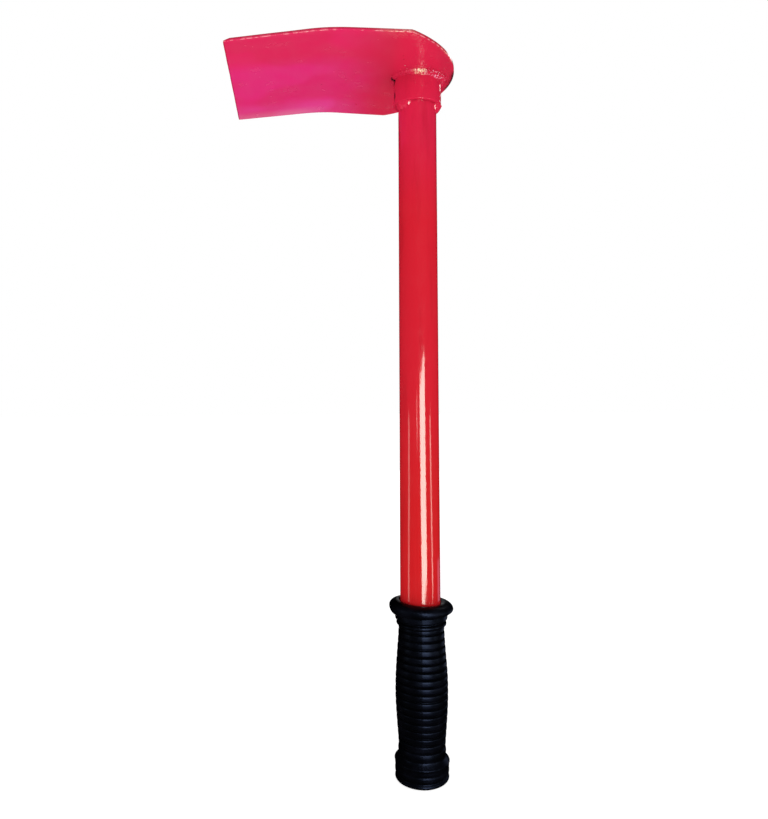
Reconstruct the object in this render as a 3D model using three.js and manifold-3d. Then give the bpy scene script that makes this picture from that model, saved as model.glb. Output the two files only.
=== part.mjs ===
// A short fire hoe: a bent steel blade set square across the top of a tubular steel handle.
// Millimetres, +Z up along the handle, cutting edge towards -X, origin at the centre of the
// grip's flat end.
import * as THREE from 'three';
import { mergeVertices } from 'three/addons/utils/BufferGeometryUtils.js';
import Module from 'manifold-3d';

const wasm = await Module();
wasm.setup();

// Clearance left between neighbouring solids.
const GAP = 0.3;

// Handle: 33.7 mm steel tube with a 2.6 mm wall, from inside the grip up to the blade.
const TUBE_RADIUS = 33.7 / 2;
const TUBE_WALL = 2.6;
const TUBE_BOTTOM_Z = 5;

// Socket: a short length of 42.4 mm tube round the top of the handle.
const SOCKET_RADIUS = 42.4 / 2;
const SOCKET_WALL = 4;
const SOCKET_LENGTH = 24;

// Blade: one plate, flat over the socket and bent down towards its cutting edge.
const BLADE_UNDERSIDE_Z = 590;
const BLADE_THICKNESS = 2.5;
const BLADE_FRONT_X = -162;
const BLADE_BACK_X = 31;
const BLADE_FRONT_WIDTH = 168;
const BLADE_BACK_WIDTH = 183.5;
const BLADE_BACK_ARC_RADIUS = 106;
const BEND_START_X = -66;
const BEND_RADIUS = 200;
const BEND_ANGLE = THREE.MathUtils.degToRad(9.1);
const GRIND_LENGTH = 5;
const EDGE_THICKNESS = 0.8;

// Fillet weld between the socket and the underside of the blade.
const FILLET_LEG_ON_BLADE = 6;
const FILLET_LEG_ON_SOCKET = 4.5;
const FILLET_CROWN = 0.7;

// Three tack welds that hold the socket's lower rim to the handle.
const TACK_LEG_ON_RIM = 3.8;
const TACK_LEG_ON_TUBE = 6.5;
const TACK_CROWN = 0.7;
const TACKS = {
  left: { azimuth: 207, arc: 66 },
  right: { azimuth: 350, arc: 44 },
  back: { azimuth: 95, arc: 34 },
};

// Rubber grip: flange, two neck rings, ribbed barrel and a bulged closed end.
const GRIP_LENGTH = 139.5;
const GRIP_FLOOR = TUBE_BOTTOM_Z - GAP;
const FLANGE_RADIUS = 26.8;
const FLANGE_EDGE_ROUND = 0.8;
const FLANGE_UNDERSIDE_Z = 131.2;
const FLANGE_LIP_TOP_Z = 135.4;
const FLANGE_DOME_RISE = 1.3;
const MOUTH_RADIUS = 19;
const NECK_RADIUS = 19.1;
const RING_GROOVE_DEPTH = 1.5;
const LOWER_NECK_RING = { z: 124.2, radius: 21, height: 3.4 };
const UPPER_NECK_RING = { z: 128.9, radius: 22.1, height: 4.6 };
const RIB_COUNT = 16;
const RIB_PITCH = 5.72;
const RIB_BOTTOM_Z = 25.9;
const RIB_DEPTH = 1;
const RIB_FLANK_DEPTH = 0.3;
const BARREL_BULGE = 2.85;
const BARREL_BOTTOM_Z = 20;
const BARREL_LENGTH = 100;
const END_RADIUS = 22.3;
const END_WALL_TOP_Z = 14.4;
const END_SHOULDER_TOP_Z = 19.6;
const END_SHOULDER_RADIUS = 19.3;
const END_EDGE_ROUND = 1.8;
const END_BEAD_HEIGHT = 0.7;
const END_GROOVES = [
  { z: 3.9, depth: 1.2, width: 2.2 },
  { z: 9.3, depth: 0.5, width: 1.6 },
];

// Facets round each turned solid.
const SEGMENTS = 48;

function material(color, roughness, metalness) {
  return new THREE.MeshStandardMaterial({ color, roughness, metalness });
}

function mesh(name, geometry, color, roughness, metalness) {
  const result = new THREE.Mesh(geometry, material(color, roughness, metalness));
  result.name = name;
  return result;
}

function toSolid(geometry) {
  const mergeDistance = 1e-4;
  const bare = geometry.clone();
  bare.deleteAttribute('normal');
  bare.deleteAttribute('uv');
  const merged = mergeVertices(bare, mergeDistance);
  const vertProperties = new Float32Array(merged.attributes.position.array);
  const triVerts = new Uint32Array(merged.index.array);
  return new wasm.Manifold(new wasm.Mesh({ numProp: 3, vertProperties, triVerts }));
}

function toGeometry(solid) {
  const data = solid.getMesh();
  const geometry = new THREE.BufferGeometry();
  geometry.setAttribute('position', new THREE.BufferAttribute(data.vertProperties, 3));
  geometry.setIndex(new THREE.BufferAttribute(data.triVerts, 1));
  geometry.computeVertexNormals();
  return geometry;
}

// Revolves [radius, z] points about Z. They run counter-clockwise, seen with z upwards.
function turned(points) {
  const profile = points.map(([radius, z]) => new THREE.Vector2(radius, z));
  const geometry = new THREE.LatheGeometry(profile, SEGMENTS);
  geometry.rotateX(Math.PI / 2);
  return geometry;
}

function closed(points) {
  return [...points, points[0]];
}

// A pipe with square ends.
function pipe(outerRadius, wall, bottomZ, topZ) {
  const innerRadius = outerRadius - wall;
  return turned(closed([
    [innerRadius, bottomZ],
    [outerRadius, bottomZ],
    [outerRadius, topZ],
    [innerRadius, topZ],
  ]));
}

function handleTube() {
  return pipe(TUBE_RADIUS, TUBE_WALL, TUBE_BOTTOM_Z, BLADE_UNDERSIDE_Z - GAP);
}

function socket() {
  const topZ = BLADE_UNDERSIDE_Z - GAP;
  return pipe(SOCKET_RADIUS, SOCKET_WALL, topZ - SOCKET_LENGTH, topZ);
}

// Side view of the blade, in x and z: the underside from the back to the cutting edge, then
// the ground edge and the upper side on the way back.
function bladeSideView() {
  const centreZ = BLADE_UNDERSIDE_Z - BEND_RADIUS;
  const outerRadius = BEND_RADIUS + BLADE_THICKNESS;
  const slope = Math.tan(BEND_ANGLE);
  const bendEndX = BEND_START_X - BEND_RADIUS * Math.sin(BEND_ANGLE);
  const bendEndZ = centreZ + BEND_RADIUS * Math.cos(BEND_ANGLE);
  const underside = (x) => bendEndZ - (bendEndX - x) * slope;
  const verticalThickness = BLADE_THICKNESS / Math.cos(BEND_ANGLE);
  const grindX = BLADE_FRONT_X + GRIND_LENGTH;
  const startAngle = Math.PI / 2;
  const endAngle = startAngle + BEND_ANGLE;
  const shape = new THREE.Shape();
  shape.moveTo(BLADE_BACK_X, BLADE_UNDERSIDE_Z);
  shape.lineTo(BEND_START_X, BLADE_UNDERSIDE_Z);
  shape.absarc(BEND_START_X, centreZ, BEND_RADIUS, startAngle, endAngle, false);
  shape.lineTo(BLADE_FRONT_X, underside(BLADE_FRONT_X));
  shape.lineTo(BLADE_FRONT_X, underside(BLADE_FRONT_X) + EDGE_THICKNESS);
  shape.lineTo(grindX, underside(grindX) + verticalThickness);
  shape.absarc(BEND_START_X, centreZ, outerRadius, endAngle, startAngle, true);
  shape.lineTo(BLADE_BACK_X, BLADE_UNDERSIDE_Z + BLADE_THICKNESS);
  shape.closePath();
  return shape;
}

// Plan view of the blade before its back end is rounded: a plate that widens backwards.
function bladePlanView() {
  const shape = new THREE.Shape();
  shape.moveTo(BLADE_FRONT_X, -BLADE_FRONT_WIDTH / 2);
  shape.lineTo(BLADE_BACK_X, -BLADE_BACK_WIDTH / 2);
  shape.lineTo(BLADE_BACK_X, BLADE_BACK_WIDTH / 2);
  shape.lineTo(BLADE_FRONT_X, BLADE_FRONT_WIDTH / 2);
  shape.closePath();
  return shape;
}

// A bent plate, wider than the blade, that the plan view and the round back end trim.
function blade() {
  const curveSegments = 10;
  const arcSegments = 120;
  const trimmingHeight = 80;
  const spareWidth = 20;
  const width = BLADE_BACK_WIDTH + spareWidth;
  const bent = new THREE.ExtrudeGeometry(bladeSideView(), {
    depth: width,
    bevelEnabled: false,
    curveSegments,
  });
  bent.rotateX(Math.PI / 2);
  bent.translate(0, width / 2, 0);
  const outline = new THREE.ExtrudeGeometry(bladePlanView(), {
    depth: trimmingHeight,
    bevelEnabled: false,
  });
  outline.translate(0, 0, BLADE_UNDERSIDE_Z - trimmingHeight / 2);
  const backArc = new THREE.CylinderGeometry(
    BLADE_BACK_ARC_RADIUS,
    BLADE_BACK_ARC_RADIUS,
    trimmingHeight,
    arcSegments,
  );
  backArc.rotateX(Math.PI / 2);
  backArc.rotateZ(Math.PI / 2);
  backArc.translate(BLADE_BACK_X - BLADE_BACK_ARC_RADIUS, 0, BLADE_UNDERSIDE_Z);
  return toGeometry(toSolid(bent).intersect(toSolid(outline)).intersect(toSolid(backArc)));
}

// A weld bead in the corner between an upright wall and a level face above it, with its
// sloping face crowned outwards.
function beadProfile(wallRadius, faceZ, legOnFace, legOnWall, crown) {
  const innerRadius = wallRadius + GAP;
  const topZ = faceZ - GAP;
  const bulge = (share) => 4 * crown * share * (1 - share);
  const onSlope = (share) => [
    innerRadius + legOnFace * share + bulge(share) * Math.SQRT1_2,
    topZ - legOnWall * (1 - share) - bulge(share) * Math.SQRT1_2,
  ];
  const shares = [0.25, 0.5, 0.75];
  return closed([
    [innerRadius, topZ],
    [innerRadius, topZ - legOnWall],
    ...shares.map(onSlope),
    [innerRadius + legOnFace, topZ],
  ]);
}

function socketWeld() {
  return turned(beadProfile(
    SOCKET_RADIUS,
    BLADE_UNDERSIDE_Z,
    FILLET_LEG_ON_BLADE,
    FILLET_LEG_ON_SOCKET,
    FILLET_CROWN,
  ));
}

// A slice of cake round Z, used to cut a short tack out of a full ring of bead.
function sector(tack, radius, bottomZ, topZ) {
  const start = THREE.MathUtils.degToRad(tack.azimuth - tack.arc / 2);
  const end = THREE.MathUtils.degToRad(tack.azimuth + tack.arc / 2);
  const shape = new THREE.Shape();
  shape.moveTo(0, 0);
  shape.lineTo(radius * Math.cos(start), radius * Math.sin(start));
  shape.lineTo(radius * Math.cos(end), radius * Math.sin(end));
  shape.closePath();
  const geometry = new THREE.ExtrudeGeometry(shape, { depth: topZ - bottomZ, bevelEnabled: false });
  geometry.translate(0, 0, bottomZ);
  return geometry;
}

function rimTack(tack) {
  const rimZ = BLADE_UNDERSIDE_Z - GAP - SOCKET_LENGTH;
  const reach = 2 * SOCKET_RADIUS;
  const lowZ = rimZ - 2 * TACK_LEG_ON_TUBE;
  const ring = turned(beadProfile(TUBE_RADIUS, rimZ, TACK_LEG_ON_RIM, TACK_LEG_ON_TUBE, TACK_CROWN));
  return toGeometry(toSolid(ring).intersect(toSolid(sector(tack, reach, lowZ, rimZ))));
}

// Radius over the rib crests at height z: the neck's radius, swelling at mid-height.
function barrelRadius(z) {
  const sharpness = 1.5;
  const share = THREE.MathUtils.clamp((z - BARREL_BOTTOM_Z) / BARREL_LENGTH, 0, 1);
  return NECK_RADIUS + BARREL_BULGE * Math.sin(Math.PI * share) ** sharpness;
}

// Upwards from each groove: out to a long flank that leans outwards, then round the crest.
function ribPoints() {
  const flankShare = 0.14;
  const crestShare = 0.64;
  const points = [];
  for (let rib = 0; rib < RIB_COUNT; rib += 1) {
    const grooveZ = RIB_BOTTOM_Z + rib * RIB_PITCH;
    const flankZ = grooveZ + flankShare * RIB_PITCH;
    const crestZ = grooveZ + crestShare * RIB_PITCH;
    points.push([barrelRadius(grooveZ) - RIB_DEPTH, grooveZ]);
    points.push([barrelRadius(flankZ) - RIB_FLANK_DEPTH, flankZ]);
    points.push([barrelRadius(crestZ), crestZ]);
  }
  const topZ = RIB_BOTTOM_Z + RIB_COUNT * RIB_PITCH;
  points.push([NECK_RADIUS - RIB_DEPTH, topZ]);
  points.push([NECK_RADIUS, topZ + RIB_PITCH / 2]);
  return points;
}

function neckRingPoints(ring) {
  return [
    [ring.radius - RING_GROOVE_DEPTH, ring.z - ring.height / 2],
    [ring.radius, ring.z - ring.height / 4],
    [ring.radius, ring.z + ring.height / 4],
  ];
}

// The flange has a nearly flat underside, a rounded edge, and a dome that meets the handle.
function flangePoints() {
  const domeRadius = (FLANGE_RADIUS + MOUTH_RADIUS) / 2;
  const domeZ = (FLANGE_LIP_TOP_Z + GRIP_LENGTH) / 2 + FLANGE_DOME_RISE;
  return [
    [UPPER_NECK_RING.radius, FLANGE_UNDERSIDE_Z],
    [FLANGE_RADIUS - FLANGE_EDGE_ROUND, FLANGE_UNDERSIDE_Z + FLANGE_EDGE_ROUND],
    [FLANGE_RADIUS, FLANGE_UNDERSIDE_Z + 2 * FLANGE_EDGE_ROUND],
    [FLANGE_RADIUS, FLANGE_LIP_TOP_Z - FLANGE_EDGE_ROUND],
    [FLANGE_RADIUS - FLANGE_EDGE_ROUND, FLANGE_LIP_TOP_Z],
    [domeRadius, domeZ],
    [MOUTH_RADIUS, GRIP_LENGTH],
  ];
}

function grooveInWall(groove) {
  return [
    [END_RADIUS, groove.z - groove.width / 2],
    [END_RADIUS - groove.depth, groove.z],
    [END_RADIUS, groove.z + groove.width / 2],
  ];
}

// The closed end: a flat disc, a rounded edge, a grooved wall, and a shoulder below one bead.
function endPoints() {
  const edgeMiddle = END_EDGE_ROUND * (1 - Math.SQRT1_2);
  return [
    [0, 0],
    [END_RADIUS - END_EDGE_ROUND, 0],
    [END_RADIUS - edgeMiddle, edgeMiddle],
    [END_RADIUS, END_EDGE_ROUND],
    ...END_GROOVES.flatMap(grooveInWall),
    [END_RADIUS, END_WALL_TOP_Z],
    [END_SHOULDER_RADIUS, END_SHOULDER_TOP_Z],
    [END_SHOULDER_RADIUS + END_BEAD_HEIGHT, (END_SHOULDER_TOP_Z + RIB_BOTTOM_Z) / 2],
  ];
}

function grip() {
  const boreRadius = TUBE_RADIUS + GAP;
  return turned([
    ...endPoints(),
    ...ribPoints(),
    ...neckRingPoints(LOWER_NECK_RING),
    ...neckRingPoints(UPPER_NECK_RING),
    ...flangePoints(),
    [boreRadius, GRIP_LENGTH],
    [boreRadius, GRIP_FLOOR],
    [0, GRIP_FLOOR],
  ]);
}

const RED = 0xd41f35;
const MAGENTA_RED = 0xdc2c63;
const BLACK = 0x0b0b10;

const hoe = new THREE.Group();
hoe.add(mesh('blade', blade(), MAGENTA_RED, 0.35, 0.1));
hoe.add(mesh('socket', socket(), RED, 0.35, 0.1));
hoe.add(mesh('socket_weld', socketWeld(), RED, 0.45, 0.1));
for (const [side, tack] of Object.entries(TACKS)) {
  hoe.add(mesh(`rim_tack_${side}`, rimTack(tack), RED, 0.45, 0.1));
}
hoe.add(mesh('handle_tube', handleTube(), RED, 0.25, 0.1));
hoe.add(mesh('grip', grip(), BLACK, 0.5, 0));

export default hoe;
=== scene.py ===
"""Looks for a short fire hoe: painted steel blade, socket and handle, welds, and a rubber grip.

Metres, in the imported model's frame: +Z up the handle, cutting edge towards -X, origin at the
centre of the grip's flat end. Azimuths are in degrees, counter-clockwise from +X.
"""
import math
import random

import bmesh
import bpy
from mathutils import Matrix, Vector, noise
from mathutils.geometry import delaunay_2d_cdt


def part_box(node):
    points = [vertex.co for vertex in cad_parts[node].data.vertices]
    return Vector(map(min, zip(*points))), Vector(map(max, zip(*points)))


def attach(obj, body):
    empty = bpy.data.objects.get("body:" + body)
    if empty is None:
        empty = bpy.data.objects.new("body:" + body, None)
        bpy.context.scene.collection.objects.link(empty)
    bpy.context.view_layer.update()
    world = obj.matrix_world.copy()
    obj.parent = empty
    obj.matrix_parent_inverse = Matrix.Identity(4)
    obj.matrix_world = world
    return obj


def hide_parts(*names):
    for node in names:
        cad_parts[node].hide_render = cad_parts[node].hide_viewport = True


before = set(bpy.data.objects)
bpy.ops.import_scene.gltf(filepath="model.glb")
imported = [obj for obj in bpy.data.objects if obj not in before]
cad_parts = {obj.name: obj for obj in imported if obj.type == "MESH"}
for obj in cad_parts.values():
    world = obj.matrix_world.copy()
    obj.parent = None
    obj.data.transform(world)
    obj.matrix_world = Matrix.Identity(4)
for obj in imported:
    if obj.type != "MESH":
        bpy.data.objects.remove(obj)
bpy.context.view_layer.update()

MM = 0.001
BODY = "root"

# ---------------------------------------------------------------- sizes, from the frame
BLADE_LOW, BLADE_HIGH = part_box("blade")
SOCKET_LOW, SOCKET_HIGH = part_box("socket")
WELD_LOW, WELD_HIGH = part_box("socket_weld")
TUBE_LOW, TUBE_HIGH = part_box("handle_tube")
GRIP_LOW, GRIP_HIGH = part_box("grip")

GAP = 0.3 * MM
TUBE_RADIUS = TUBE_HIGH.x
TUBE_WALL = 2.6 * MM
SOCKET_RADIUS = SOCKET_HIGH.x
SOCKET_WALL = 4 * MM
RIM_Z = SOCKET_LOW.z
WELD_RADIUS = WELD_HIGH.x

BLADE_THICKNESS = 2.5 * MM
UNDERSIDE_Z = BLADE_HIGH.z - BLADE_THICKNESS
FRONT_HALF_WIDTH = 84 * MM
BACK_HALF_WIDTH = 91.75 * MM
BACK_ARC_RADIUS = 106 * MM
BEND_START_X = -66 * MM
BEND_RADIUS = 200 * MM
BEND_ANGLE = math.radians(9.1)
GRIND_LENGTH = 5 * MM
EDGE_THICKNESS = 0.8 * MM
EDGE_ROUND = 0.45 * MM
EDGE_ARC_STEPS = 5
ARRIS_RING = 3
BLADE_SPACING = 2.5 * MM


# ---------------------------------------------------------------- mesh helpers
def smooth_step(low, high, value):
    share = min(max((value - low) / (high - low), 0), 1)
    return share * share * (3 - 2 * share)


def bell(value, width):
    """1 at zero, falling smoothly to almost nothing past `width` on either side."""
    return math.exp(-((2 * value / width) ** 2))


def wobble(point, scale, seed=0):
    """Smooth noise from -1 to 1, with features about `scale` metres across."""
    return noise.noise(Vector(point) / scale + Vector((seed, 2.3 * seed, -1.7 * seed)))


def turn_between(angle, azimuth):
    """Signed angle in radians from an azimuth in degrees to `angle` in radians."""
    return (angle - math.radians(azimuth) + math.pi) % (2 * math.pi) - math.pi


def new_object(name, mesh, material, smooth_angle=40):
    mesh.materials.append(material)
    for polygon in mesh.polygons:
        polygon.use_smooth = True
    mesh.set_sharp_from_angle(angle=math.radians(smooth_angle))
    piece = bpy.data.objects.new(name, mesh)
    bpy.context.scene.collection.objects.link(piece)
    return piece


def finished(piece, slot, *nodes):
    """Rides on the tool's one body, and stands for these CAD nodes."""
    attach(piece, BODY)
    if nodes:
        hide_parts(*nodes)
    return piece


def to_mesh(build, name):
    mesh = bpy.data.meshes.new(name)
    build.to_mesh(mesh)
    build.free()
    return mesh


def mark(mesh, name, share_at):
    """Stores a share from 0 to 1 for each vertex, which a material reads by this name."""
    layer = mesh.attributes.new(name, "FLOAT", "POINT")
    for vertex in mesh.vertices:
        layer.data[vertex.index].value = share_at(vertex.co)


def turned_mesh(name, profile, segments, place):
    """Revolves (radius, z) points about Z. `profile` runs up the outside. Points on the axis
    make a pole. `place(radius, angle, z)` gives each vertex's position."""
    build = bmesh.new()
    rings = []
    for radius, z in profile:
        if radius == 0:
            rings.append([build.verts.new(place(0, 0, z))])
            continue
        angles = [2 * math.pi * step / segments for step in range(segments)]
        rings.append([build.verts.new(place(radius, angle, z)) for angle in angles])
    closes = profile[0][0] > 0
    pairs = list(zip(rings, rings[1:] + rings[:1])) if closes else list(zip(rings, rings[1:]))
    for lower, upper in pairs:
        for step in range(segments):
            after = (step + 1) % segments
            if len(lower) == 1:
                build.faces.new((lower[0], upper[after], upper[step]))
            elif len(upper) == 1:
                build.faces.new((lower[step], lower[after], upper[0]))
            else:
                build.faces.new((lower[step], lower[after], upper[after], upper[step]))
    return to_mesh(build, name)


def on_circle(radius, angle, z):
    return (radius * math.cos(angle), radius * math.sin(angle), z)


def rounded(points, radius, steps=4):
    """Closed (radius, z) outline with each corner replaced by a small arc-like curve."""
    result = []
    count = len(points)
    for index, corner in enumerate(points):
        here = Vector(corner)
        before = Vector(points[index - 1]) - here
        after = Vector(points[(index + 1) % count]) - here
        reach = min(radius, before.length / 2.2, after.length / 2.2)
        start = here + before.normalized() * reach
        end = here + after.normalized() * reach
        for step in range(steps + 1):
            share = step / steps
            first = start.lerp(here, share)
            second = here.lerp(end, share)
            result.append(tuple(first.lerp(second, share)))
    return result


def divided(outline, length):
    """Closed outline with points added so that no step is longer than about `length`."""
    result = []
    for start, end in zip(outline, outline[1:] + outline[:1]):
        pieces = max(1, round(math.dist(start, end) / length))
        for piece in range(pieces):
            result.append(tuple(Vector(start).lerp(Vector(end), piece / pieces)))
    return result


def pipe_profile(outer, wall, bottom_z, top_z, corner, step_length):
    inner = outer - wall
    corners = [(inner, bottom_z), (outer, bottom_z), (outer, top_z), (inner, top_z)]
    return divided(rounded(corners, corner), step_length)


# ---------------------------------------------------------------- materials
class Surface:
    """A material whose node graph is added to one call at a time."""

    def __init__(self, name, roughness, specular=0.5, tint=(1, 1, 1)):
        self.material = bpy.data.materials.new(name)
        self.material.use_nodes = True
        self.nodes = self.material.node_tree.nodes
        self.links = self.material.node_tree.links
        self.shader = self.nodes["Principled BSDF"]
        self.shader.inputs["Roughness"].default_value = roughness
        self.shader.inputs["Specular IOR Level"].default_value = specular
        self.shader.inputs["Specular Tint"].default_value = (*tint, 1)
        self.place = self.nodes.new("ShaderNodeTexCoord").outputs["Object"]

    def connect(self, value, socket):
        """Links an output, or sets a plain number or colour."""
        if isinstance(value, bpy.types.NodeSocket):
            self.links.new(value, socket)
        elif isinstance(value, tuple):
            socket.default_value = (*value, 1)
        else:
            socket.default_value = value

    def coordinate(self, axis):
        split = self.nodes.new("ShaderNodeSeparateXYZ")
        self.links.new(self.place, split.inputs[0])
        return split.outputs[axis]

    def stored(self, name):
        """A share kept on the mesh by `mark`."""
        node = self.nodes.new("ShaderNodeAttribute")
        node.attribute_name = name
        return node.outputs["Fac"]

    def noise(self, size, detail=2.0, place=None):
        node = self.nodes.new("ShaderNodeTexNoise")
        node.inputs["Scale"].default_value = 1 / size
        node.inputs["Detail"].default_value = detail
        self.links.new(place or self.place, node.inputs["Vector"])
        return node.outputs["Fac"]

    def cells(self, size):
        """Distance to the nearest point of a scattered set, in cell sizes, and a number that
        differs from cell to cell."""
        node = self.nodes.new("ShaderNodeTexVoronoi")
        node.inputs["Scale"].default_value = 1 / size
        self.links.new(self.place, node.inputs["Vector"])
        split = self.nodes.new("ShaderNodeSeparateColor")
        self.links.new(node.outputs["Color"], split.inputs[0])
        return node.outputs["Distance"], split.outputs[0]

    def ramp(self, value, start, end):
        """0 at `start` and 1 at `end`, held beyond them."""
        node = self.nodes.new("ShaderNodeMapRange")
        node.interpolation_type = "SMOOTHSTEP"
        self.connect(value, node.inputs["Value"])
        node.inputs["From Min"].default_value = start
        node.inputs["From Max"].default_value = end
        return node.outputs["Result"]

    def math(self, operation, first, second):
        node = self.nodes.new("ShaderNodeMath")
        node.operation = operation
        self.connect(first, node.inputs[0])
        self.connect(second, node.inputs[1])
        return node.outputs[0]

    def product(self, *shares):
        result = shares[0]
        for share in shares[1:]:
            result = self.math("MULTIPLY", result, share)
        return result

    def mix(self, share, first, second):
        node = self.nodes.new("ShaderNodeMix")
        node.data_type = "RGBA"
        self.connect(share, node.inputs["Factor"])
        self.connect(first, node.inputs[6])
        self.connect(second, node.inputs[7])
        return node.outputs[2]

    def stretched(self, along_z):
        """Coordinates in which a pattern is `along_z` times longer in z."""
        node = self.nodes.new("ShaderNodeMapping")
        node.inputs["Scale"].default_value = (1, 1, 1 / along_z)
        self.links.new(self.place, node.inputs["Vector"])
        return node.outputs["Vector"]

    def specks(self, size, radius, rarity):
        """Scattered round dots: `radius` in cell sizes, in a share 1 - `rarity` of the cells."""
        distance, lot = self.cells(size)
        return self.product(self.ramp(distance, radius, 0.6 * radius), self.ramp(lot, rarity, rarity + 0.01))

    def color(self, value):
        self.connect(value, self.shader.inputs["Base Color"])

    def roughness(self, value):
        self.connect(value, self.shader.inputs["Roughness"])

    def bump(self, *layers):
        """Layers are (height share, depth in metres), and add up."""
        normal = None
        for height, depth in layers:
            node = self.nodes.new("ShaderNodeBump")
            node.inputs["Distance"].default_value = depth
            self.links.new(height, node.inputs["Height"])
            if normal:
                self.links.new(normal, node.inputs["Normal"])
            normal = node.outputs["Normal"]
        self.links.new(normal, self.shader.inputs["Normal"])


def enamel(name, gloss_roughness=0.07, fine_depth=0.02, broad_depth=0.04, nib_rarity=0.6):
    """Brushed gloss enamel: orange peel at two scales, with depths in millimetres, and dust nibs."""
    surface = Surface(name, gloss_roughness)
    fine_peel = surface.noise(1.3 * MM, 1)
    broad_peel = surface.noise(8 * MM, 1)
    nibs = surface.specks(7 * MM, 0.06, nib_rarity)
    surface.bump((fine_peel, fine_depth * MM), (broad_peel, broad_depth * MM), (nibs, 0.05 * MM))
    rough_share = surface.ramp(surface.noise(15 * MM, 3), 0.3, 0.8)
    surface.roughness(surface.math("MULTIPLY", surface.math("ADD", rough_share, 1.0), gloss_roughness))
    return surface


FLOOR_GLOW = 0.8
TOP_RED = (0.68, 0.0165, 0.062)
MIDDLE_RED = (0.665, 0.015, 0.031)
LOW_RED = (0.64, 0.0135, 0.0175)
DEEP_RED = (0.30, 0.006, 0.012)
# A near-black red for painted shade.
SHADE_DARK = (0.035, 0.004, 0.006)


def tube_red(surface):
    """The red of the handle, a little bluer towards the top, with faint mottling."""
    z = surface.coordinate("Z")
    lower = surface.mix(surface.ramp(z, 0.2, 0.36), LOW_RED, MIDDLE_RED)
    whole = surface.mix(surface.ramp(z, 0.455, 0.56), lower, TOP_RED)
    streaks = surface.noise(9 * MM, 3, surface.stretched(9))
    return surface.mix(surface.product(surface.ramp(streaks, 0.5, 0.85), 0.3), whole, DEEP_RED)


def make_red_paint():
    surface = enamel("red_paint")
    surface.color(tube_red(surface))
    return surface.material


def make_socket_paint():
    surface = enamel("socket_paint")
    # The seam on the socket's left side gets painted shade.
    shaded = surface.mix(surface.stored("painted_shade"), tube_red(surface), SHADE_DARK)
    surface.color(shaded)
    return surface.material


def make_weld_paint():
    """Paint over a weld, mottled with painted highlights and painted shade, with painted glints and sparkles
    in places and painted shade at the seam.
    """
    surface = enamel("weld_paint")
    # Mottled painted highlights on the noise's high spots and painted shade on its low spots.
    mottle = surface.noise(2.2 * MM, 3)
    crest_highlights = surface.product(surface.ramp(mottle, 0.58, 0.74), 0.35)
    pits = surface.product(surface.ramp(mottle, 0.42, 0.3), 0.6)
    color = surface.mix(crest_highlights, tube_red(surface), (0.78, 0.10, 0.20))
    color = surface.mix(pits, color, DEEP_RED)
    # Painted highlights: pinkish-white sparkles on the bead to the right of the handle.
    sparkle_noise = surface.ramp(surface.noise(1.5 * MM, 2), 0.55, 0.62)
    sparkling = surface.product(surface.stored("sparkle_highlight"), sparkle_noise)
    color = surface.mix(sparkling, color, (0.95, 0.42, 0.58))
    # Painted glints: cream flecks on the bead in front of the handle.
    glint_specks = surface.ramp(surface.noise(1.7 * MM, 2), 0.47, 0.54)
    glinting = surface.product(surface.stored("glint"), glint_specks)
    color = surface.mix(glinting, color, (1.0, 0.80, 0.52))
    # Painted shade where the bead meets the socket's seam.
    color = surface.mix(surface.stored("painted_shade"), color, SHADE_DARK)
    surface.color(color)
    return surface.material


def make_blade_paint():
    """Red by the handle, turning magenta towards the cutting edge, with a painted sheen that pales towards
    the far margin.
    """
    surface = enamel("blade_paint", 0.15, 0.004, 0.015, 0.97)
    x = surface.coordinate("X")
    y = surface.coordinate("Y")
    handle_red = (0.66, 0.0155, 0.061)
    near_red = (0.77, 0.0185, 0.115)
    magenta = (0.78, 0.022, 0.182)
    sheen_magenta = (0.79, 0.046, 0.26)
    sheen_pink = (0.80, 0.15, 0.33)
    along = surface.mix(surface.ramp(y, -50 * MM, -20 * MM), near_red, magenta)
    # Painted reflection: a lighter sheen over the far half, paling further at the far margin of the bent
    # part.
    along = surface.mix(surface.ramp(y, 42 * MM, 66 * MM), along, sheen_magenta)
    margin = surface.product(surface.ramp(y, 64 * MM, 84 * MM), surface.ramp(x, -66 * MM, -110 * MM))
    along = surface.mix(margin, along, sheen_pink)
    patches = surface.ramp(surface.noise(55 * MM, 1), 0.25, 0.6)
    bent_part = surface.ramp(x, -22 * MM, -78 * MM)
    share = surface.product(bent_part, surface.math("MAXIMUM", patches, 0.7))
    color = surface.mix(share, handle_red, along)
    dark_specks = surface.product(surface.specks(16 * MM, 0.05, 0.62), 0.75)
    color = surface.mix(dark_specks, color, DEEP_RED)
    # Painted shade on the upper half of the plate's rim.
    color = surface.mix(surface.product(surface.stored("rim"), 0.7), color, DEEP_RED)
    # Painted shade: a darker line along the cutting edge.
    cutting_edge_shade = surface.ramp(x, BLADE_LOW.x + 1.6 * MM, BLADE_LOW.x)
    color = surface.mix(surface.product(cutting_edge_shade, 0.6), color, DEEP_RED)
    # Painted highlight: a pale line along the lower arris, broken into dashes.
    highlight_dashes = surface.ramp(surface.noise(4.5 * MM, 3), 0.47, 0.6)
    color = surface.mix(surface.product(surface.stored("arris_highlight"), highlight_dashes), color, (0.95, 0.36, 0.42))
    # Painted glints: cream flecks on the rim beside the handle and at the back end.
    glinting = surface.ramp(surface.noise(2.2 * MM, 3), 0.46, 0.56)
    color = surface.mix(surface.product(surface.stored("glint"), glinting), color, (0.95, 0.70, 0.46))
    # Painted shade on the rim at the very back of the round end.
    color = surface.mix(surface.stored("painted_shade"), color, SHADE_DARK)
    surface.color(color)
    return surface.material


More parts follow.
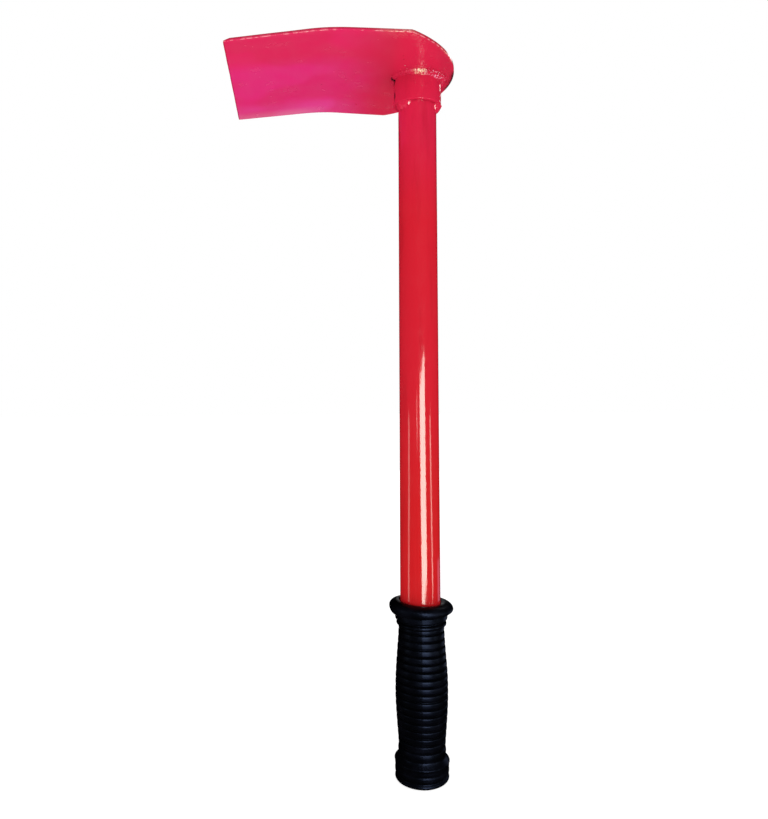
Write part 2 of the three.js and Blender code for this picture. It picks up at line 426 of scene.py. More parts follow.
def make_rubber():
    surface = Surface("grip_rubber", 0.42, 0.12, (0.45, 0.5, 1))
    bloom = surface.ramp(surface.noise(14 * MM, 3), 0.45, 0.8)
    surface.color(surface.mix(bloom, (0.0008, 0.0008, 0.0012), (0.0022, 0.0022, 0.004)))
    grain = surface.noise(0.7 * MM, 2)
    flow = surface.noise(5 * MM, 2)
    surface.bump((grain, 0.02 * MM), (flow, 0.04 * MM))
    surface.roughness(surface.math("ADD", surface.product(bloom, 0.12), 0.36))
    return surface.material


def make_floor_material():
    surface = Surface("floor", 0.9, 0)
    soft = surface.noise(0.6, 2)
    surface.color(surface.mix(soft, (0.5, 0.5, 0.5), (0.53, 0.53, 0.53)))
    surface.shader.inputs["Emission Color"].default_value = (1, 1, 1, 1)
    surface.shader.inputs["Emission Strength"].default_value = FLOOR_GLOW
    return surface.material


RED_PAINT = make_red_paint()
SOCKET_PAINT = make_socket_paint()
WELD_PAINT = make_weld_paint()
BLADE_PAINT = make_blade_paint()
RUBBER = make_rubber()


# ---------------------------------------------------------------- blade
def underside_z(x):
    """Height of the blade's underside: flat, then an arc, then a straight slope to the edge."""
    bend_end_x = BEND_START_X - BEND_RADIUS * math.sin(BEND_ANGLE)
    if x >= BEND_START_X:
        return UNDERSIDE_Z
    if x >= bend_end_x:
        across = BEND_START_X - x
        return UNDERSIDE_Z - BEND_RADIUS + math.sqrt(BEND_RADIUS**2 - across**2)
    bend_drop = BEND_RADIUS * (1 - math.cos(BEND_ANGLE))
    return UNDERSIDE_Z - bend_drop - (bend_end_x - x) * math.tan(BEND_ANGLE)


def blade_thickness(x):
    """Full plate thickness, falling over the ground strip at the cutting edge."""
    share = min(max((x - BLADE_LOW.x) / GRIND_LENGTH, 0), 1)
    return EDGE_THICKNESS + (BLADE_THICKNESS - EDGE_THICKNESS) * share


def half_width(x):
    share = (x - BLADE_LOW.x) / (BLADE_HIGH.x - BLADE_LOW.x)
    return FRONT_HALF_WIDTH + (BACK_HALF_WIDTH - FRONT_HALF_WIDTH) * share


def blade_outline(spacing):
    """Plan outline of the blade, counter-clockwise, with points about `spacing` apart."""
    centre_x = BLADE_HIGH.x - BACK_ARC_RADIUS
    corner_x = centre_x
    enough_rounds = 20
    for _ in range(enough_rounds):
        corner_x = centre_x + math.sqrt(BACK_ARC_RADIUS**2 - half_width(corner_x) ** 2)
    corner_angle = math.atan2(half_width(corner_x), corner_x - centre_x)
    front = Vector((BLADE_LOW.x, -FRONT_HALF_WIDTH))
    corner = Vector((corner_x, -half_width(corner_x)))
    points = []
    side_count = round((corner - front).length / spacing)
    for step in range(side_count):
        points.append(front.lerp(corner, step / side_count))
    arc_count = round(2 * corner_angle * BACK_ARC_RADIUS / spacing)
    for step in range(arc_count + 1):
        angle = corner_angle * (2 * step / arc_count - 1)
        direction = Vector((math.cos(angle), math.sin(angle)))
        points.append(Vector((centre_x, 0)) + BACK_ARC_RADIUS * direction)
    for step in range(1, side_count + 1):
        share = step / side_count
        points.append(Vector((corner.x, -corner.y)).lerp(Vector((front.x, -front.y)), share))
    front_count = round(2 * FRONT_HALF_WIDTH / spacing)
    for step in range(1, front_count):
        y = FRONT_HALF_WIDTH * (1 - 2 * step / front_count)
        points.append(Vector((front.x, y)))
    return soften(points)


def soften(points):
    """Averages each point with its neighbours, which rounds the corners slightly."""
    count = len(points)
    return [(points[i - 1] + 6 * points[i] + points[(i + 1) % count]) / 8 for i in range(count)]


def inset(points, distance):
    """Moves each point of a counter-clockwise outline inwards."""
    result = []
    count = len(points)
    for index, point in enumerate(points):
        along = (points[(index + 1) % count] - points[index - 1]).normalized()
        result.append(point + Vector((-along.y, along.x)) * distance)
    return result


def rim_steps(edge_radius, arc_steps):
    """(inset, share of the thickness) round the plate's edge, from the underside to the top."""
    steps = []
    for step in range(arc_steps + 1):
        angle = math.pi / 2 * step / arc_steps
        steps.append((edge_radius * (1 - math.sin(angle)), edge_radius * (1 - math.cos(angle))))
    lower = [(distance, height / BLADE_THICKNESS) for distance, height in steps]
    upper = [(distance, 1 - share) for distance, share in reversed(lower)]
    return lower + upper


def plate_point(x, y, share):
    """A point of the plate; share 0 is the underside and 1 the top."""
    ripple = 0.12 * MM * wobble((x, y, 0), 28 * MM, 3)
    z = underside_z(x) + blade_thickness(x) * share + ripple
    return (x, y, min(z, BLADE_HIGH.z))


def fill_side(build, ring, outline, share, spacing, upwards):
    """Closes one side of the plate with even triangles inside its last ring."""
    loop = [Vector((point.x, point.y)) for point in outline]
    inner = []
    rows = range(round((BLADE_HIGH.y - BLADE_LOW.y) / spacing) + 1)
    columns = range(round((BLADE_HIGH.x - BLADE_LOW.x) / spacing) + 1)
    for row in rows:
        for column in columns:
            x = BLADE_LOW.x + (column + 0.5 * (row % 2)) * spacing
            y = BLADE_LOW.y + row * spacing
            inner.append(Vector((x, y)))
    margin = inset(outline, 0.6 * spacing)
    inner = [point for point in inner if inside(point, margin)]
    edges = [(i, (i + 1) % len(loop)) for i in range(len(loop))]
    coords, _, faces, *_ = delaunay_2d_cdt(loop + inner, edges, [], 1, 1e-7)
    verts = list(ring)
    for point in coords[len(loop):]:
        verts.append(build.verts.new(plate_point(point.x, point.y, share)))
    for face in faces:
        corners = [verts[i] for i in face]
        build.faces.new(corners if upwards else corners[::-1])


def inside(point, loop):
    """True where a point lies within a convex counter-clockwise loop."""
    count = len(loop)
    for index in range(0, count, 3):
        start = loop[index]
        along = loop[(index + 3) % count] - start
        offset = point - start
        if along.x * offset.y - along.y * offset.x < 0:
            return False
    return True


def blade_edge_lumps(point):
    """Paint that has gathered in lumps along the near edge, beside the handle."""
    if point.y > 0:
        return 0
    return 0.35 * MM * bell(point.x + 25 * MM, 26 * MM) * wobble((point.x, 0, 0), 3 * MM, 9)


def make_blade():
    outline = blade_outline(BLADE_SPACING)
    uneven = []
    for point in outline:
        uneven.append(point * (1 + 0.0009 * wobble((point.x, point.y, 0), 14 * MM, 5)))
    build = bmesh.new()
    rings = []
    steps = rim_steps(EDGE_ROUND, EDGE_ARC_STEPS)
    outlines = []
    for distance, share in steps:
        loop = []
        for point, inner in zip(uneven, inset(uneven, 1)):
            scale = blade_thickness(point.x) / BLADE_THICKNESS
            depth = distance * scale + blade_edge_lumps(point) * share * (1 - share)
            loop.append(point + (inner - point) * depth)
        outlines.append(loop)
        rings.append([build.verts.new(plate_point(point.x, point.y, share)) for point in loop])
    count = len(outline)
    for lower, upper in zip(rings, rings[1:]):
        for i in range(count):
            j = (i + 1) % count
            build.faces.new((lower[i], lower[j], upper[j], upper[i]))
    fill_side(build, rings[0], outlines[0], 0, BLADE_SPACING, False)
    fill_side(build, rings[-1], outlines[-1], 1, BLADE_SPACING, True)
    mesh = to_mesh(build, "blade_plate")
    mark_blade(mesh, count, steps)
    piece = new_object("blade_plate", mesh, BLADE_PAINT, 50)
    return finished(piece, "blade_paint", "blade")


def mark_blade(mesh, count, steps):
    """Marks the painted highlight on the lower arris, painted glints, painted shade on the upper half of the
    rim, and painted shade at the back.
    """
    arris_highlight = mesh.attributes.new("arris_highlight", "FLOAT", "POINT")
    glint = mesh.attributes.new("glint", "FLOAT", "POINT")
    rim = mesh.attributes.new("rim", "FLOAT", "POINT")
    for vertex in mesh.vertices:
        ring = vertex.index // count
        if ring >= len(steps):
            continue
        share = steps[ring][1]
        on_arris = bell(ring - ARRIS_RING, 3)
        arris_highlight.data[vertex.index].value = on_arris
        glint.data[vertex.index].value = bell(ring - ARRIS_RING, 3.5) * glint_share(vertex.co)
        rim.data[vertex.index].value = smooth_step(0.1, 0.6, share)
    mark(mesh, "painted_shade", back_rim_shade)


def back_bearing(point):
    """Degrees from +X of a point on the round back end, seen from the arc's centre."""
    return math.degrees(math.atan2(point.y, point.x - BLADE_HIGH.x + BACK_ARC_RADIUS))


def glint_share(point):
    """Painted glints: on the near edge beside the handle, and on the near half of the back end."""
    if point.y > 0:
        return 0
    beside_handle = bell(point.x + 25 * MM, 22 * MM)
    return max(beside_handle, 0.8 * bell(back_bearing(point) + 31, 15))


def back_rim_shade(point):
    """Painted shade on the rim, at the very back of the round end."""
    reach = math.hypot(point.x - BLADE_HIGH.x + BACK_ARC_RADIUS, point.y)
    bearing = back_bearing(point)
    along = smooth_step(-14, -9, bearing) * smooth_step(12, 7, bearing)
    return along * smooth_step(BACK_ARC_RADIUS - 3 * MM, BACK_ARC_RADIUS - 1 * MM, reach)


# ---------------------------------------------------------------- tubes
def make_tube():
    profile = pipe_profile(TUBE_RADIUS, TUBE_WALL, TUBE_LOW.z, TUBE_HIGH.z, 0.5 * MM, 6 * MM)

    def place(radius, angle, z):
        uneven = 0.035 * MM * wobble((math.cos(angle), math.sin(angle), z / (60 * MM)), 1, 7)
        return on_circle(radius + uneven, angle, z)

    mesh = turned_mesh("handle", profile, 144, place)
    piece = new_object("handle", mesh, RED_PAINT, 50)
    return finished(piece, "red_paint", "handle_tube")


SEAM_AZIMUTH = 187


def pit_share(z):
    """Two deeper pits in the seam, which get the most painted shade: one under the weld and one low on the
    socket.
    """
    upper = bell(z - (SOCKET_HIGH.z - 2.5 * MM), 6 * MM)
    lower = bell(z - (SOCKET_LOW.z + 8 * MM), 6 * MM)
    return max(upper, lower)


def seam_depth(angle, z):
    """0 to 1: a ragged seam that runs up the socket's left side, deepest at its pits."""
    across = turn_between(angle, SEAM_AZIMUTH) * SOCKET_RADIUS
    wander = 0.5 * MM * wobble((0, 0, z), 7 * MM, 21)
    pits = pit_share(z)
    return bell(across - wander, (2.6 + 2.6 * pits) * MM) * (0.35 + 0.65 * pits)


def make_socket():
    inner = SOCKET_RADIUS - SOCKET_WALL
    profile = pipe_profile(SOCKET_RADIUS, SOCKET_WALL, SOCKET_LOW.z, SOCKET_HIGH.z, 0.9 * MM, 0.8 * MM)

    def place(radius, angle, z):
        outside = smooth_step(inner, SOCKET_RADIUS, radius)
        lump = 0.16 * MM * wobble(on_circle(SOCKET_RADIUS, angle, z), 9 * MM, 31)
        fine = 0.05 * MM * wobble(on_circle(SOCKET_RADIUS, angle, z), 2.5 * MM, 33)
        change = lump + fine - 0.1 * MM - 0.9 * MM * seam_depth(angle, z)
        return on_circle(radius + change * outside, angle, z)

    mesh = turned_mesh("pipe_socket", profile, 288, place)

    # Painted shade in the seam groove on the socket's outside.
    def painted_shade(point):
        radius = math.hypot(point.x, point.y)
        outer_side = smooth_step(inner + 1 * MM, SOCKET_RADIUS - 1.5 * MM, radius)
        depth = seam_depth(math.atan2(point.y, point.x), point.z)
        return outer_side * smooth_step(0.22, 0.6, depth)

    mark(mesh, "painted_shade", painted_shade)
    piece = new_object("pipe_socket", mesh, SOCKET_PAINT, 50)
    return finished(piece, "red_paint", "socket")


# ---------------------------------------------------------------- welds
def bead_ring(angle, wall_radius, face_z, leg_on_face, leg_on_wall, bulge, face_steps=10):
    """Section of a weld bead under a level face and round an upright wall, as positions."""
    across = Vector((math.cos(angle), math.sin(angle), 0))
    ring = [across * wall_radius + Vector((0, 0, face_z))]
    for face_step in range(face_steps + 1):
        share = face_step / face_steps
        hump = 4 * share * (1 - share) * bulge * math.sqrt(0.5)
        radius = wall_radius + leg_on_face * share + hump
        z = face_z - leg_on_wall * (1 - share) - hump
        ring.append(across * radius + Vector((0, 0, z)))
    return ring


def sweep(name, sections, closes):
    """Joins sections of equal length, and caps both ends unless they close on themselves."""
    build = bmesh.new()
    rings = [[build.verts.new(point) for point in section] for section in sections]
    followers = rings[1:] + rings[:1] if closes else rings[1:]
    for first, second in zip(rings, followers):
        for i in range(len(first)):
            j = (i + 1) % len(first)
            build.faces.new((first[i], second[i], second[j], first[j]))
    if not closes:
        build.faces.new(rings[0])
        build.faces.new(reversed(rings[-1]))
    bmesh.ops.recalc_face_normals(build, faces=build.faces)
    return to_mesh(build, name)


def ripple(angle, count, lean):
    """Sawtooth-like ripples along a bead, from -0.5 to 0.5, of uneven length."""
    phase = count * angle / (2 * math.pi) + 0.45 * wobble((math.cos(angle), math.sin(angle), 0), 0.3, lean)
    share = phase % 1
    return share - 0.5 if share < 0.8 else 0.5 - (share - 0.8) * 5


def make_socket_weld():
    """Low and smooth on the left, rippled and lumpy to the right of the handle."""
    inner = SOCKET_RADIUS - 0.2 * MM
    leg_on_face = WELD_RADIUS - inner - 0.7 * MM
    leg_on_wall = WELD_HIGH.z - WELD_LOW.z - 0.5 * MM
    segments = 720
    sections = []
    for step in range(segments):
        angle = 2 * math.pi * step / segments
        around = (math.cos(angle), math.sin(angle), 0)
        rough_side = smooth_step(-0.6, 0.4, math.cos(angle - math.radians(320)))
        low_side = smooth_step(0.2, 0.9, math.cos(angle - math.radians(182)))
        size = 0.88 + 0.22 * wobble(around, 0.35, 11) + 0.1 * wobble(around, 0.1, 13)
        size *= 1 - 0.5 * low_side
        lumps = wobble(around, 0.05, 15) * rough_side
        bulge = 0.6 * MM + 0.5 * MM * lumps
        bulge += 0.34 * MM * ripple(angle, 46, 5) * (0.3 + 0.7 * rough_side)
        sections.append(bead_ring(
            angle, inner, UNDERSIDE_Z, leg_on_face * size, leg_on_wall * size, bulge, 12))
    mesh = sweep("fillet_weld", sections, True)
    mark_weld(mesh)
    piece = new_object("fillet_weld", mesh, WELD_PAINT, 60)
    return finished(piece, "painted_weld", "socket_weld")


def mark_weld(mesh):
    """Painted glints in front of the handle, painted sparkle highlights to its right, and painted shade at
    the socket's seam.
    """
    def around(azimuth, arc):
        return lambda point: bell(math.degrees(turn_between(math.atan2(point.y, point.x), azimuth)), arc)

    mark(mesh, "glint", around(267, 20))
    mark(mesh, "sparkle_highlight", around(305, 62))
    mark(mesh, "painted_shade", around(SEAM_AZIMUTH, 12))


def make_tack(side, seed):
    """A short lumpy bead, over the same azimuths as the CAD node of this name."""
    node = f"rim_tack_{side}"
    points = [vertex.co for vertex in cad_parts[node].data.vertices]
    middle = sum((Vector((point.x, point.y, 0)) for point in points), Vector()).normalized()
    azimuth = math.atan2(middle.y, middle.x)
    turns = [turn_between(math.atan2(point.y, point.x), math.degrees(azimuth)) for point in points]
    half_arc = max(turns) + 1.2 * MM / TUBE_RADIUS
    low_z = min(point.z for point in points)
    outer = max(math.hypot(point.x, point.y) for point in points)
    wall = TUBE_RADIUS - 0.3 * MM
    sections = []
    section_count = 64
    spread = 1.12 if side == "right" else 0.95
    for step in range(section_count + 1):
        share = 2 * step / section_count - 1
        angle = azimuth + half_arc * share
        taper = math.sqrt(max(1 - share**2, 0.0025))
        lump = 1 + 0.14 * wobble((angle, 0, 0), 0.2, seed) + 0.07 * wobble((angle, 0, 0), 0.06, seed)
        size = taper * lump
        bulge = 0.7 * MM * size * (1 + 0.3 * wobble((angle, 0, 0), 0.12, seed + 9))
        sections.append(bead_ring(
            angle, wall, RIM_Z + 0.1 * MM, (outer - wall) * size * spread, (RIM_Z - low_z) * size, bulge))
    mesh = sweep(f"tack_{side}", sections, False)
    piece = new_object(f"tack_{side}", mesh, WELD_PAINT, 60)
    return finished(piece, "painted_weld", node)


def droplet(build, centre, normal, radius):
    """A flattened drop of spatter, half sunk in the surface it sits on."""
    turn = normal.to_track_quat("Z", "Y").to_matrix().to_4x4()
    squash = Matrix.Diagonal((radius, radius, 0.7 * radius, 1))
    bmesh.ops.create_icosphere(
        build, subdivisions=2, radius=1, matrix=Matrix.Translation(centre) @ turn @ squash)


def make_spatter():
    """Weld spatter on the plate and the socket, thickest to the right of the handle."""
    draw = random.Random(7)
    beside_weld, on_socket, on_plate = 150, 36, 7
    build = bmesh.new()
    down = Vector((0, 0, -1))
    for _ in range(beside_weld):
        azimuth = math.radians(draw.gauss(315, 38))
        radius = WELD_RADIUS + abs(draw.gauss(0, 3.2)) * MM - 2.5 * MM
        size = draw.uniform(0.3, 0.75) * MM
        centre = Vector(on_circle(radius, azimuth, UNDERSIDE_Z + 0.1 * size))
        reach = math.hypot(centre.x - BLADE_HIGH.x + BACK_ARC_RADIUS, centre.y)
        if reach > BACK_ARC_RADIUS - 1.5 * MM:
            continue
        if radius < WELD_RADIUS - 1 * MM:
            centre.z -= (WELD_RADIUS - radius) * 0.8
        droplet(build, centre, down, size)
    for _ in range(on_socket):
        azimuth = math.radians(draw.gauss(285, 45))
        z = UNDERSIDE_Z - draw.uniform(5, 15) * MM
        size = draw.uniform(0.25, 0.55) * MM
        outwards = Vector((math.cos(azimuth), math.sin(azimuth), 0))
        centre = outwards * (SOCKET_RADIUS - 0.15 * MM) + Vector((0, 0, z))
        droplet(build, centre, outwards, size)
    for _ in range(on_plate):
        x = draw.uniform(BLADE_LOW.x + 12 * MM, 10 * MM)
        y = draw.uniform(-70 * MM, 75 * MM)
        size = draw.uniform(0.3, 0.7) * MM
        if math.hypot(x, y) > WELD_RADIUS + 6 * MM:
            droplet(build, Vector((x, y, underside_z(x))), down, size)
    piece = new_object("weld_spatter", to_mesh(build, "weld_spatter"), WELD_PAINT, 60)
    return finished(piece, "painted_weld")


# ---------------------------------------------------------------- grip
GRIP_LENGTH = GRIP_HIGH.z
NECK_RADIUS = 19.1 * MM
BARREL_BULGE = 2.85 * MM
BARREL_BOTTOM_Z = 20 * MM
BARREL_LENGTH = 100 * MM
RIB_PITCH = 5.72 * MM
RIB_BOTTOM_Z = 25.9 * MM
RIB_COUNT = 16
RIB_TOP_Z = RIB_BOTTOM_Z + RIB_COUNT * RIB_PITCH
RIB_GROOVE_WIDTH = 1.1 * MM
RIB_GROOVE_DEPTH = 1.15 * MM
CROWN_MIDDLE_Z = 78 * MM
CROWN_SPAN = 66 * MM
END_RADIUS = 22.2 * MM
END_WALL_TOP_Z = 14.4 * MM
SHOULDER_TOP_Z = 19.4 * MM
END_EDGE_ROUND = 1.2 * MM
LOWER_RING_Z = 121.9 * MM
RING_GAP_Z = 125.2 * MM
LOWER_RING_RADIUS = 20.9 * MM
UPPER_RING_RADIUS = 21.9 * MM
FLANGE_UNDERSIDE_Z = 131 * MM
FLANGE_RADIUS = GRIP_HIGH.x
MOUTH_RADIUS = 17.9 * MM
GRIP_FLOOR_Z = TUBE_LOW.z - GAP
GRIP_OFFSET = 0.7 * MM
END_OFFSET = 0.6 * MM
NICK_AZIMUTH = -8
NICK_Z = 4.1 * MM
PARTING_AZIMUTHS = (262, 82)
GRIP_SEGMENTS = 200


def barrel_radius(z):
    share = min(max((z - BARREL_BOTTOM_Z) / BARREL_LENGTH, 0), 1)
    return NECK_RADIUS + BARREL_BULGE * math.sin(math.pi * share) ** 1.5


def rib_groove(z, groove_z):
    return RIB_GROOVE_DEPTH * bell(z - groove_z, RIB_GROOVE_WIDTH)


def rib_change(z):
    """Ribs that are flat, but crowned at mid-height, with a narrow groove below each one."""
    share = ((z - RIB_BOTTOM_Z) / RIB_PITCH) % 1
    across = min(share, 1 - share) * RIB_PITCH
    crown = (0.05 + 0.22 * bell(z - CROWN_MIDDLE_Z, CROWN_SPAN)) * MM * (2 * (share - 0.56)) ** 2
    return -crown - rib_groove(across, 0)


def end_radius(z):
    """The closed end: a rounded edge, a wall with two grooves and a lip, and a hollow shoulder."""
    if z < END_EDGE_ROUND:
        rise = 1 - z / END_EDGE_ROUND
        return END_RADIUS - END_EDGE_ROUND * (1 - math.sqrt(max(1 - rise**2, 0)))
    groove = 1.3 * MM * bell(z - 3.7 * MM, 2.2 * MM) + 0.35 * MM * bell(z - 9.4 * MM, 2 * MM)
    lip = 0.45 * MM * bell(z - END_WALL_TOP_Z, 1.8 * MM)
    wall_end = smooth_step(END_WALL_TOP_Z + 0.2 * MM, SHOULDER_TOP_Z, z)
    return END_RADIUS + lip - groove - (END_RADIUS - NECK_RADIUS - 0.15 * MM) * wall_end**0.8


def ring_radius(z):
    """The two plain rings below the flange, with a deep gap between them."""
    foot = NECK_RADIUS - 0.2 * MM
    lower = (LOWER_RING_RADIUS - foot) * smooth_step(LOWER_RING_Z - 1 * MM, LOWER_RING_Z + 0.4 * MM, z)
    upper = UPPER_RING_RADIUS - LOWER_RING_RADIUS
    upper *= smooth_step(RING_GAP_Z, RING_GAP_Z + 1.2 * MM, z)
    gap = 1.7 * MM * bell(z - RING_GAP_Z, 1.9 * MM)
    return foot + lower + upper - gap


def outer_radius(z):
    if z < SHOULDER_TOP_Z:
        return end_radius(z)
    if z < RIB_BOTTOM_Z:
        flare = 0.5 * MM * bell(z - 22.6 * MM, 5 * MM)
        return NECK_RADIUS + 0.15 * MM + flare - rib_groove(z, RIB_BOTTOM_Z)
    if z < RIB_TOP_Z:
        return barrel_radius(z) + rib_change(z)
    if z < RIB_TOP_Z + 0.5 * RIB_PITCH:
        return barrel_radius(z) - rib_groove(z, RIB_TOP_Z)
    return ring_radius(z)


def flange_profile():
    """An underside that rises to a rounded lip, and a full dome that meets the handle."""
    start = ring_radius(FLANGE_UNDERSIDE_Z)
    lip = FLANGE_RADIUS
    corners = [
        (start, FLANGE_UNDERSIDE_Z),
        (start + 1.5 * MM, FLANGE_UNDERSIDE_Z + 0.2 * MM),
        (lip - 1.0 * MM, FLANGE_UNDERSIDE_Z + 1.6 * MM),
        (lip, FLANGE_UNDERSIDE_Z + 3.2 * MM),
        (lip - 0.5 * MM, GRIP_LENGTH - 3.1 * MM),
        (lip - 2.4 * MM, GRIP_LENGTH - 1.2 * MM),
        (lip - 5.3 * MM, GRIP_LENGTH - 0.1 * MM),
        (MOUTH_RADIUS + 1 * MM, GRIP_LENGTH),
        (TUBE_RADIUS + GAP, GRIP_LENGTH - 0.8 * MM),
    ]
    return smoothed_path(corners, 5)


def smoothed_path(corners, steps):
    """Open Catmull-Rom curve through the given (radius, z) points."""
    points = [Vector(corner) for corner in corners]
    result = []
    for index in range(len(points) - 1):
        before = points[max(index - 1, 0)]
        start, end = points[index], points[index + 1]
        after = points[min(index + 2, len(points) - 1)]
        for step in range(steps):
            t = step / steps
            place = 0.5 * (
                2 * start
                + (end - before) * t
                + (2 * before - 5 * start + 4 * end - after) * t**2
                + (3 * start - before - 3 * end + after) * t**3
            )
            result.append(tuple(place))
    result.append(tuple(points[-1]))
    return result


def grip_heights():
    """Heights up the outside of the grip, closer together at the groove below each rib."""
    spacing = 0.33 * MM
    shares = (0, 0.03, 0.06, 0.09, 0.13, 0.2, 0.35, 0.5, 0.65, 0.8, 0.87, 0.91, 0.94, 0.97)
    heights = [spacing * step for step in range(1, int(RIB_BOTTOM_Z / spacing))]
    for rib in range(RIB_COUNT):
        heights += [RIB_BOTTOM_Z + (rib + share) * RIB_PITCH for share in shares]
    above = FLANGE_UNDERSIDE_Z - RIB_TOP_Z
    heights += [RIB_TOP_Z + spacing * step for step in range(int(above / spacing))]
    return heights


def grip_profile():
    """Up the outside from the pole of the closed end, then down the bore to its floor."""
    foot = END_RADIUS - END_EDGE_ROUND
    dish = [(0, 0.9 * MM), (11 * MM, 0.9 * MM), (11.6 * MM, 0.7 * MM), (12.2 * MM, 0.05 * MM)]
    outside = [(outer_radius(z), z) for z in grip_heights()]
    bore = TUBE_RADIUS + GAP
    hollow = [(bore, GRIP_LENGTH / 2), (bore, GRIP_FLOOR_Z), (0, GRIP_FLOOR_Z)]
    return dish + [(12.6 * MM, 0), (foot, 0)] + outside + flange_profile() + hollow


def grip_drop(x, y, z):
    """How far the moulding sits below its drawn height: its ribs and its dome both lean."""
    ribs = 0.045 * x * smooth_step(2 * MM, 12 * MM, z) * smooth_step(129 * MM, 116 * MM, z)
    dome = smooth_step(131.5 * MM, 135 * MM, z)
    raised_end = 0.03 * min(x, 0) * smooth_step(10 * MM, 4 * MM, z)
    return ribs + raised_end + (0.05 * x + 0.03 * min(x, 0) + 0.03 * y - 0.5 * MM) * dome


def end_nick(angle, z):
    """Depth of a torn nick in the wall of the closed end."""
    along = bell(turn_between(angle, NICK_AZIMUTH) * END_RADIUS, 9 * MM)
    return 1.6 * MM * along * bell(z - NICK_Z, 2.6 * MM)


def make_grip():
    bore = TUBE_RADIUS + 2 * GAP

    def place(radius, angle, z):
        x, y, _ = on_circle(radius, angle, z)
        outside = smooth_step(bore, bore + 1.5 * MM, radius)
        parting = max(bell(turn_between(angle, azimuth) * radius, 0.9 * MM) for azimuth in PARTING_AZIMUTHS)
        lifted = smooth_step(1 * MM, 8 * MM, z)
        uneven = 0.10 * MM * wobble((x, y, z), 16 * MM, 41) * outside * lifted
        change = 0.13 * MM * parting * outside * lifted + uneven - end_nick(angle, z) * outside
        swell = 1 + change / max(radius, MM)
        below_floor = smooth_step(GRIP_FLOOR_Z, GRIP_FLOOR_Z - 2 * MM, z)
        held = max(outside, below_floor)
        near_end = smooth_step(24 * MM, 14 * MM, z)
        shift = (GRIP_OFFSET + (END_OFFSET - GRIP_OFFSET) * near_end) * held
        dropped = grip_drop(x, y, z) * outside
        return (x * swell + shift, y * swell, max(z - dropped, 0))

    mesh = turned_mesh("rubber_grip", grip_profile(), GRIP_SEGMENTS, place)
    piece = new_object("rubber_grip", mesh, RUBBER, 55)
    return finished(piece, "black_rubber", "grip")


# ---------------------------------------------------------------- camera, light and floor
CAMERA_POSITION = Vector((-0.1076, -0.6228, 0.3252))
CAMERA_YAW = math.radians(-7.12)
CAMERA_PITCH = math.radians(5.02)
CAMERA_ROLL = math.radians(0.13)
CAMERA_SHIFT = Vector((-0.0005, -0.116))
SENSOR_HEIGHT = 24
FOCAL_LENGTH_IN_PIXELS = 731.2
IMAGE_HEIGHT = 819
AMBIENT = 0.61


def make_camera():
    data = bpy.data.cameras.new("camera")
    data.sensor_fit = "VERTICAL"
    data.sensor_height = SENSOR_HEIGHT
    data.lens = SENSOR_HEIGHT * FOCAL_LENGTH_IN_PIXELS / IMAGE_HEIGHT
    data.shift_x, data.shift_y = CAMERA_SHIFT
    data.clip_start = 0.01
    camera = bpy.data.objects.new("camera", data)
    bpy.context.scene.collection.objects.link(camera)
    turn = Matrix.Rotation(CAMERA_YAW, 4, "Z")
    turn = turn @ Matrix.Rotation(math.pi / 2 + CAMERA_PITCH, 4, "X")
    turn = turn @ Matrix.Rotation(-CAMERA_ROLL, 4, "Z")
    camera.matrix_world = Matrix.Translation(CAMERA_POSITION) @ turn
    bpy.context.scene.camera = camera


def make_world(ambient):
    """White to the camera, an even grey light on the tool, and nothing in its reflections."""
    world = bpy.data.worlds.new("studio")
    world.use_nodes = True
    nodes = world.node_tree.nodes
    path = nodes.new("ShaderNodeLightPath")
    level = nodes.new("ShaderNodeMapRange")
    level.inputs["To Min"].default_value = ambient
    world.node_tree.links.new(path.outputs["Is Camera Ray"], level.inputs["Value"])
    background = nodes["Background"]
    background.inputs["Color"].default_value = (1, 1, 1, 1)
    world.node_tree.links.new(level.outputs["Result"], background.inputs["Strength"])
    world.cycles_visibility.glossy = False
    bpy.context.scene.world = world


def area_light(name, centre, target, width, height, radiance, color=(1, 1, 1)):
    """A rectangle that shines towards `target`, with its height as near upright as it can be."""
    data = bpy.data.lights.new(name, "AREA")
    data.shape = "RECTANGLE"
    data.size = width
    data.size_y = height
    data.color = color
    data.energy = radiance * width * height * math.pi
    light = bpy.data.objects.new(name, data)
    facing = (Vector(target) - Vector(centre)).to_track_quat("-Z", "Y").to_matrix().to_4x4()
    light.matrix_world = Matrix.Translation(centre) @ facing
    light.visible_camera = False
    bpy.context.scene.collection.objects.link(light)
    return light


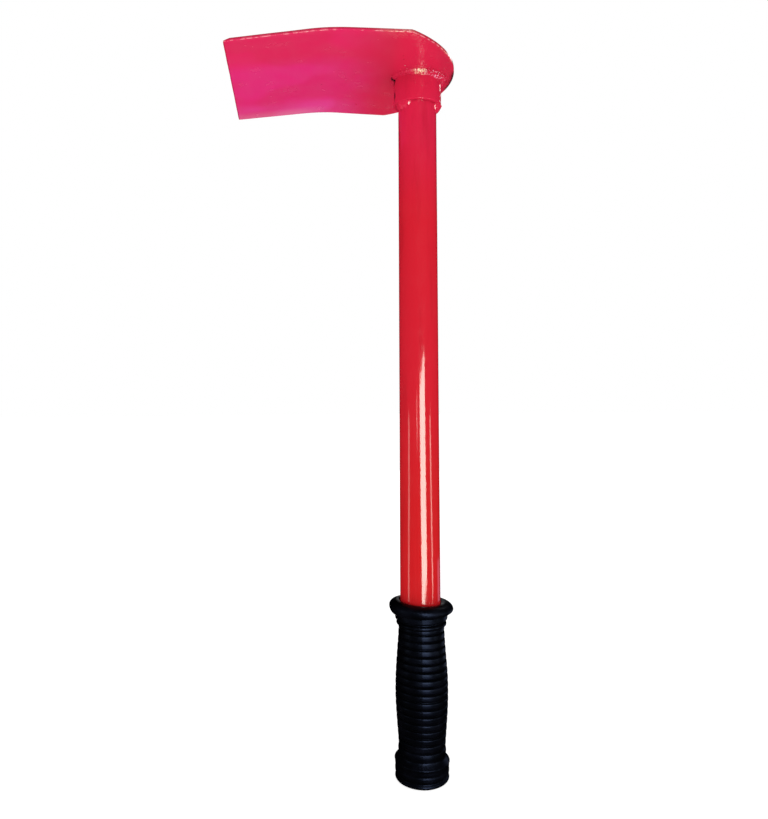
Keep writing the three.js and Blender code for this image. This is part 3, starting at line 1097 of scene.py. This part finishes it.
def shine(name, low, high, distance, width, radiance, color=(1, 1, 1)):
    """A strip that only shows in reflections. `low` and `high` are the (azimuth, height) of
    its two ends, seen from the handle."""
    ends = []
    for azimuth, height in (low, high):
        ends.append(Vector(on_circle(distance, math.radians(azimuth), height)))
    middle = (ends[0] + ends[1]) / 2
    along = ends[1] - ends[0]
    light = area_light(name, middle, (0, 0, middle.z), width, along.length, radiance, color)
    facing = light.matrix_world.to_3x3()
    lean = math.atan2(along.dot(facing.col[0]), along.dot(facing.col[1]))
    light.matrix_world = light.matrix_world @ Matrix.Rotation(-lean, 4, "Z")
    light.visible_diffuse = False
    return light


def make_lights():
    front = area_light("front_softbox", (0.25, -1.7, 0.35), (0, 0, 0.35), 1.8, 1.6, 1.24)
    front.visible_glossy = False
    back = area_light("back_softbox", (0.5, 1.8, 0.7), (0, 0, 0.35), 1.4, 1.4, 0.8)
    back.visible_glossy = False
    warm = (0.8, 1, 0.88)
    blue = (0.55, 0.66, 1)
    shine("front_shine", (284.6, 0.0), (277.0, 0.34), 0.5, 0.26, 16, warm)
    shine("thin_shine", (247.4, 0.233), (247.4, 0.30), 0.5, 0.02, 10, warm)
    shine("left_shine", (191.5, 0.005), (199.5, 0.27), 0.45, 0.07, 3, warm)
    shine("right_shine", (335, 0.02), (324, 0.27), 0.45, 0.05, 7, warm)
    shine("grip_shine", (282, 0.0), (282, 0.08), 0.15, 0.06, 1.4, blue)
    shine("upper_shine", (278.5, 1.08), (278.5, 1.2), 1.0, 0.12, 26)
    shine("right_upper_shine", (46, 1.04), (46, 1.3), 1.2, 0.14, 7)
    shine("rear_glow", (80, 0.02), (80, 0.3), 1.75, 1.5, 0.06, blue)
    shine("rear_strip", (80, 0.0), (80, 0.25), 0.45, 0.08, 0.9)
    shine("grip_rim", (28, 0.0), (28, 0.11), 0.28, 0.12, 0.8, blue)


def make_floor():
    reach = 6
    corners = [(-reach, -reach, 0), (reach, -reach, 0), (reach, reach, 0), (-reach, reach, 0)]
    mesh = bpy.data.meshes.new("floor")
    mesh.from_pydata(corners, [], [(0, 1, 2, 3)])
    mesh.materials.append(make_floor_material())
    floor = bpy.data.objects.new("floor", mesh)
    floor.visible_glossy = False
    bpy.context.scene.collection.objects.link(floor)


bpy.context.scene.view_settings.view_transform = "Standard"
make_camera()
make_world(AMBIENT)
make_lights()
make_floor()
make_blade()
make_tube()
make_socket()
make_socket_weld()
for number, name in enumerate(("left", "right", "back")):
    make_tack(name, 50 + number)
make_spatter()
make_grip()
